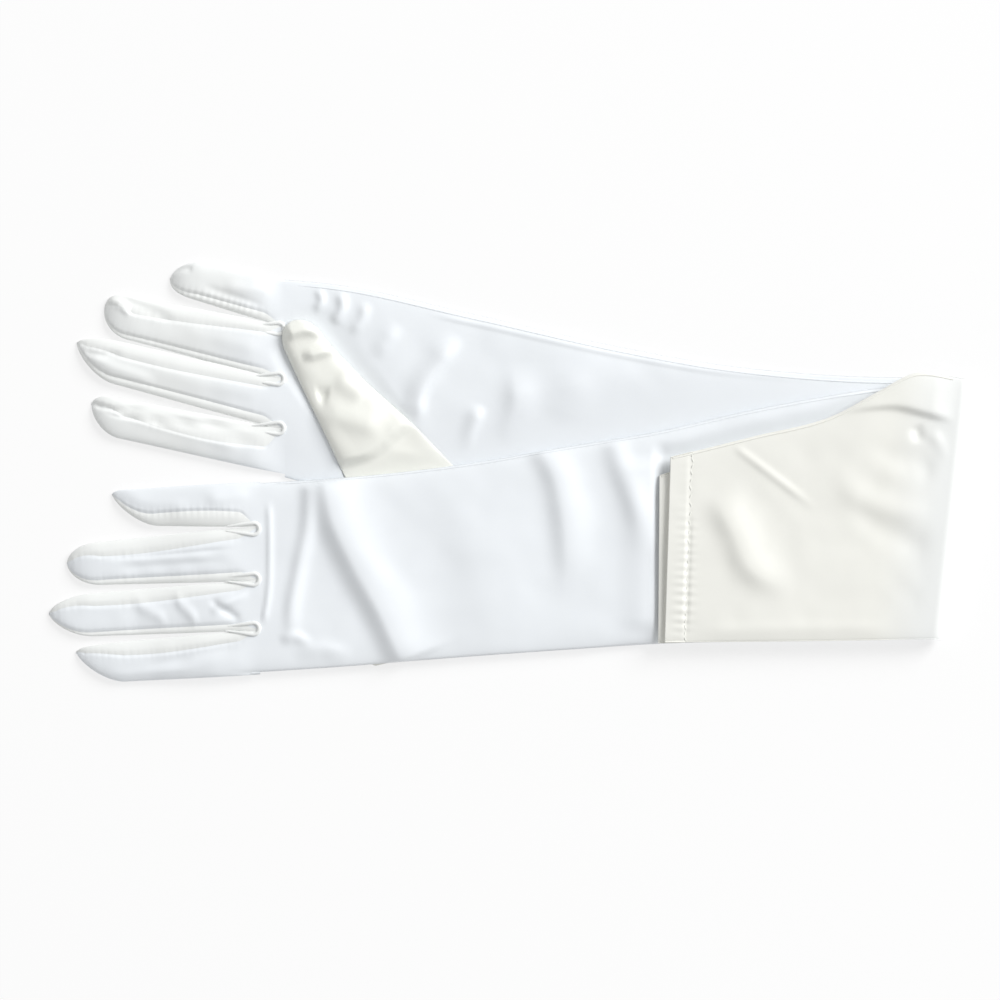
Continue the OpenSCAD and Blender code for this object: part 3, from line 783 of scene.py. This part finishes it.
def buildGlove(side):
    glove, cuff = f"{side}_glove", f"{side}_cuff"
    body = sleeveBody(side)
    sleeve = dress(clothMesh(f"{side}_sleeve", body, 0.0, wrap=True, thickness=layers["cloth"]),
                   "whiteSatin", [f"{side}_back", f"{side}_palm"], body=glove)
    count = len(body) - 1
    seamLine = sampled(body, np.arange(1, count + 1), np.full(count, sleeveLook["seamColumn"][side]))
    seamLine = seamLine - (0, 0, 0.05)
    ripple = 1 + 0.15 * np.sin(seamLine[:, 0] * 2 * np.pi / 2.4)
    taper = smooth(np.arange(count) / 14) * smooth(np.arange(count)[::-1] / 14) * 0.9 + 0.1
    bead = tubeAlong(seamLine, sleeveLook["bead"] * ripple * taper, 8, 0.6)
    seam = dress(clothMesh(f"{side}_side_seam_bead", bead, 0.0, wrap=True), "whiteSatin",
                 [f"{side}_side_seam"], body=glove)

    plies = {}
    for ply, node, inward in (("outer", "back" if side == "left" else "palm", -1),
                              ("inner", "palm" if side == "left" else "back", 1)):
        grid, warm = cuffPly(side, ply == "outer")
        plies[ply] = grid
        # the turn starts above the ply and its edges below the fold, and ends under them above it
        edgeZ = layers[side + "Floor"] + layers["plyGap"] / 2
        low = edgeZ - 0.05 if ply == "outer" else edgeZ + layers["plyGap"] / 2 + 0.03
        high = 2 * hingeZ - low - (0.85 if ply == "outer" and side == "left" else 0.2)
        start, end = np.array([0, 0, low]), np.array([0, 0, high])
        piece = dress(clothMesh(f"{side}_cuff_{ply}", grid, warm, thickness=layers["cloth"]),
                      "whiteSatin", [f"{side}_cuff_{node}"], bend=(glove, cuff, start, end))
        hemGrid = turnedHem(grid, inward)
        hem = dress(clothMesh(f"{side}_hem_{ply}", hemGrid, 1.0, thickness=hemLook["wall"]),
                    "whiteSatin", [f"{side}_hem_{node}"], body=cuff)
        if ply == "outer":
            mouth = np.linalg.norm(grid[-1, :, :2] - grid[:, :, :2], axis=-1).mean(1)
            row = np.interp(-hemLook["depth"], -mouth, np.arange(len(mouth)))
            span = np.linalg.norm(grid[-1, 0, :2] - grid[-1, -1, :2])
            count = int(span / hemLook["pitch"] * 1.15)
            cols = np.linspace(3, grid.shape[1] - 4, count)
            wobble = 0.35 * rumple(cols * 2.0, cols * 0, 9, 71)
            points = sampled(grid, np.full(count, row) + wobble, cols) + (0, 0, 0.08)
            thread = stitchRow(f"{side}_hem_thread", points, hemLook["threadRadius"], hemLook["stitch"],
                               hemLook["zigzag"])
            dress(thread, "sewingThread", [f"{side}_hem_stitches"], body=cuff)
            first = cuffLook["bendRows"] + 4
            seamRows = np.arange(first, len(grid) - 1.0)
            line = sampled(grid, seamRows, np.full(len(seamRows), grid.shape[1] - 3.0))
            bead = tubeAlong(line, cuffLook["bead"], 8, 0.6)
            bead = clothMesh(f"{side}_cuff_seam_bead", bead, 1.0, wrap=True)
            dress(bead, "whiteSatin", [f"{side}_cuff_seam"], body=cuff)
    print(side, "sleeve and cuff made")

    for finger in fingers:
        ring, (a, b, c, d), base, heading = fingerRing(side, finger)
        lift = joints[f"{side}_{finger}_lift"]["pos_m"]
        z = lift[2] / mm
        bend = (glove, f"{side}_{finger}", (*base, z), (*(base + heading * fingerLook["bend"]), z))
        total = ring.shape[1]
        lowStrip, highStrip = fingerLook[side][finger]
        stripNodes = [n for n in sorted(frame["nodes"]) if n.startswith(f"{side}_{finger}_strip")]
        topNode, underNode = ("palm", "back") if side == "left" else ("back", "palm")
        columns = np.arange(total)
        fresh = 0.0
        if side == "left":
            fresh = fingerLook["warmTips"] * smooth(np.linspace(0, 2, len(ring)))[:, None]
        sides = ((lowStrip, columns[a:b + 1], "low"), (highStrip, columns[c:d + 1], "high"))
        for strip, cols, word in sides:
            if strip is None:
                continue
            node = [n for n in stripNodes if n.endswith(word) or len(stripNodes) == 1]
            piece = clothMesh(f"{side}_{finger}_side_{word}", ring[:, cols], 0.15, pole=True,
                              thickness=fingerLook["stripWall"])
            dress(piece, "creamSatin", node, bend=bend)
        if lowStrip and highStrip:
            upper = clothMesh(f"{side}_{finger}_{topNode}_cloth", ring[:, b:c + 1], fresh, pole=True,
                              thickness=layers["cloth"])
            dress(upper, "whiteSatin", [f"{side}_{finger}_{topNode}"], bend=bend)
            lower = np.concatenate([columns[d:], columns[:a + 1]])
            under = clothMesh(f"{side}_{finger}_{underNode}_cloth", ring[:, lower], fresh, pole=True,
                              thickness=layers["cloth"])
            dress(under, "whiteSatin", [f"{side}_{finger}_{underNode}"], bend=bend)
        else:
            cols = np.concatenate([columns[d:], columns[:c + 1]]) if highStrip else np.concatenate(
                [columns[b:], columns[:a + 1]])
            main = clothMesh(f"{side}_{finger}_cloth", ring[:, cols], fresh, pole=True,
                             thickness=layers["cloth"])
            dress(main, "whiteSatin", [f"{side}_{finger}_palm", f"{side}_{finger}_back"], bend=bend)
    for i, (near, far) in enumerate(zip(fingers[:-1], fingers[1:])):
        yNear, yFar = (planPoint(joints[f"{side}_{f}_lift"]["pos_m"])[1] for f in (near, far))
        middle = np.array([gloves[side]["knuckleX"] - crotchLook["back"], (yNear + yFar) / 2])
        loop = crotchLoop(side, middle)
        piece = clothMesh(f"{side}_crotch_{i + 1}", loop, 0.1, wrap=True, pole=True)
        dress(piece, "creamSatin", body=glove)
    print(side, "fingers made")


buildGlove("left")
buildGlove("right")

thumb = thumbGrid()
leftThumb = clothMesh("left_thumb_cloth", thumb, 1.0, wrap=True, pole=True, thickness=thumbLook["wall"])
hinge = joints["left_thumb_lift"]
hingePoint, hingeAxis = planPoint(hinge["pos_m"]), np.array(hinge["axis"])[:2]
outward = np.array([-hingeAxis[1], hingeAxis[0]])
outward *= np.sign(outward @ (thumbLine[1] - hingePoint))
turnEnd = hingePoint + outward * thumbLook["bend"]
dress(leftThumb, "creamSatin", ["left_thumb_back", "left_thumb_palm"],
      bend=("left_glove", "left_thumb", (*hingePoint, 4.5), (*turnEnd, 4.5)))
tucked = tuckedThumb()
rightThumb = clothMesh("right_thumb_cloth", tucked, 1.0, wrap=True, pole=True, thickness=layers["cloth"])
# its root lies on the palm; these points mark a run beyond the root line for the thumb's turn, which dress
# does not apply
rootPoint = np.append(planPoint(joints["right_thumb_swing"]["pos_m"]), tuckedLook["middle"])
alongRoot, runIn = tuckedLook["rootLine"], tuckedLook["turn"]
beyondRoot = np.array([alongRoot[1], -alongRoot[0], 0])
turnStart, turnEnd = rootPoint + runIn[0] * beyondRoot, rootPoint + runIn[1] * beyondRoot
dress(rightThumb, "creamSatin", ["right_thumb_back", "right_thumb_palm"],
      bend=("right_glove", "right_thumb", turnStart, turnEnd))
print("thumbs made")


stageLook = {"floor": (0.3, 0.3, 0.3), "glow": 0.681, "world": 0.5, "keyPower": 366.0, "keySize": 3.4,
             "keyPlace": (4.2, 2.9, 3.6), "height": 4.0, "lens": 367.0, "aim": (-1.9, -11.1)}

bpy.ops.mesh.primitive_plane_add(size=8)
floor = bpy.context.object
floor.name = "studio_floor"
paper = bpy.data.materials.new("paleFloor")
paper.use_nodes = True
paperShader = paper.node_tree.nodes["Principled BSDF"]
paperShader.inputs["Base Color"].default_value = (*stageLook["floor"], 1)
paperShader.inputs["Roughness"].default_value = 0.9
paperShader.inputs["Emission Color"].default_value = (1, 1, 1, 1)
paperShader.inputs["Emission Strength"].default_value = stageLook["glow"]
paperShader.inputs["Specular IOR Level"].default_value = 0.0
floor.data.materials.append(paper)

world = bpy.data.worlds.new("studio")
bpy.context.scene.world = world
world.use_nodes = True
world.node_tree.nodes["Background"].inputs["Color"].default_value = (1, 1, 1, 1)
world.node_tree.nodes["Background"].inputs["Strength"].default_value = stageLook["world"]

key = bpy.data.lights.new("windowSoft", "AREA")
key.energy, key.size = stageLook["keyPower"], stageLook["keySize"]
keyObject = bpy.data.objects.new("windowSoft", key)
bpy.context.collection.objects.link(keyObject)
keyObject.location = stageLook["keyPlace"]
keyObject.rotation_mode = "QUATERNION"
keyObject.rotation_quaternion = keyObject.location.to_track_quat("Z", "Y")

camera = bpy.data.cameras.new("camera")
camera.lens, camera.sensor_width = stageLook["lens"], 36.0
camera.clip_end = 100
cameraObject = bpy.data.objects.new("camera", camera)
bpy.context.collection.objects.link(cameraObject)
cameraObject.location = (stageLook["aim"][0] * mm, stageLook["aim"][1] * mm, stageLook["height"])
bpy.context.scene.camera = cameraObject
bpy.context.scene.view_settings.view_transform = "Standard"
